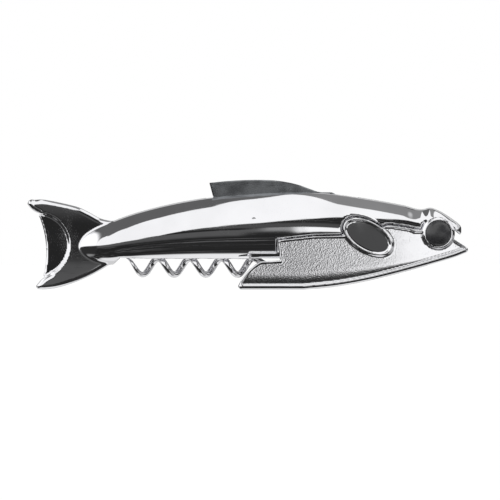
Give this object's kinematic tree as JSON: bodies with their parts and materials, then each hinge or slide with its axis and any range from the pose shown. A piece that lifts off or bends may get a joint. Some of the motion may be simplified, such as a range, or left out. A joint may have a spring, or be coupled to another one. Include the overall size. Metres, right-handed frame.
{
  "type": "fish-shaped corkscrew bottle opener",
  "caption": "Chrome-plated fish-shaped waiter's corkscrew with a hinged belly lever, folding worm, dorsal-fin foil knife and forked-tail cap lifter.",
  "frame": {"origin": "centre of the bounding box in X and Y, at the belly's lowest level", "axes": "+X towards the fish's nose, +Z towards its back, Y across its thickness; the side shown in the picture is -Y"},
  "size_m": [0.15, 0.0206, 0.0374],
  "materials": {
    "polished_chrome": "mirror-polished chrome plate on a zinc casting",
    "pebbled_chrome": "chrome plate over a fine pebbled cast face, rims polished",
    "worm_wire": "bright plated drawn wire",
    "blade_steel": "ground stainless sheet",
    "eye_plastic": "satin black moulding",
    "pin_steel": "bright turned steel",
    "spring_steel": "hardened strip"
  },
  "bodies": {
    "handle": {"handle_body": "polished_chrome", "worm_pin": "pin_steel", "worm_spacer_front": "pin_steel", "worm_spacer_rear": "pin_steel", "knife_pin": "pin_steel", "knife_spring": "spring_steel", "spring_pin": "pin_steel"},
    "lever": {"boot_lever": "pebbled_chrome", "lever_pin": "pin_steel", "eye_cap_front": "eye_plastic", "eye_cap_rear": "eye_plastic"},
    "worm": {"corkscrew_worm": "worm_wire"},
    "knife": {"foil_knife": "blade_steel"}
  },
  "joints": [
    {"name": "lever_swing", "type": "hinge", "parent": "handle", "child": "lever", "pos_m": [0.0649, 0, 0.0191], "axis": [0, -1, 0], "range_deg": [0, 130]},
    {"name": "worm_swing", "type": "hinge", "parent": "handle", "child": "worm", "pos_m": [0.0179, 0, 0.0079], "axis": [0, -1, 0], "range_deg": [0, 100]},
    {"name": "knife_swing", "type": "hinge", "parent": "handle", "child": "knife", "pos_m": [0.0281, 0, 0.0302], "axis": [0, 1, 0], "range_deg": [0, 140]}
  ]
}
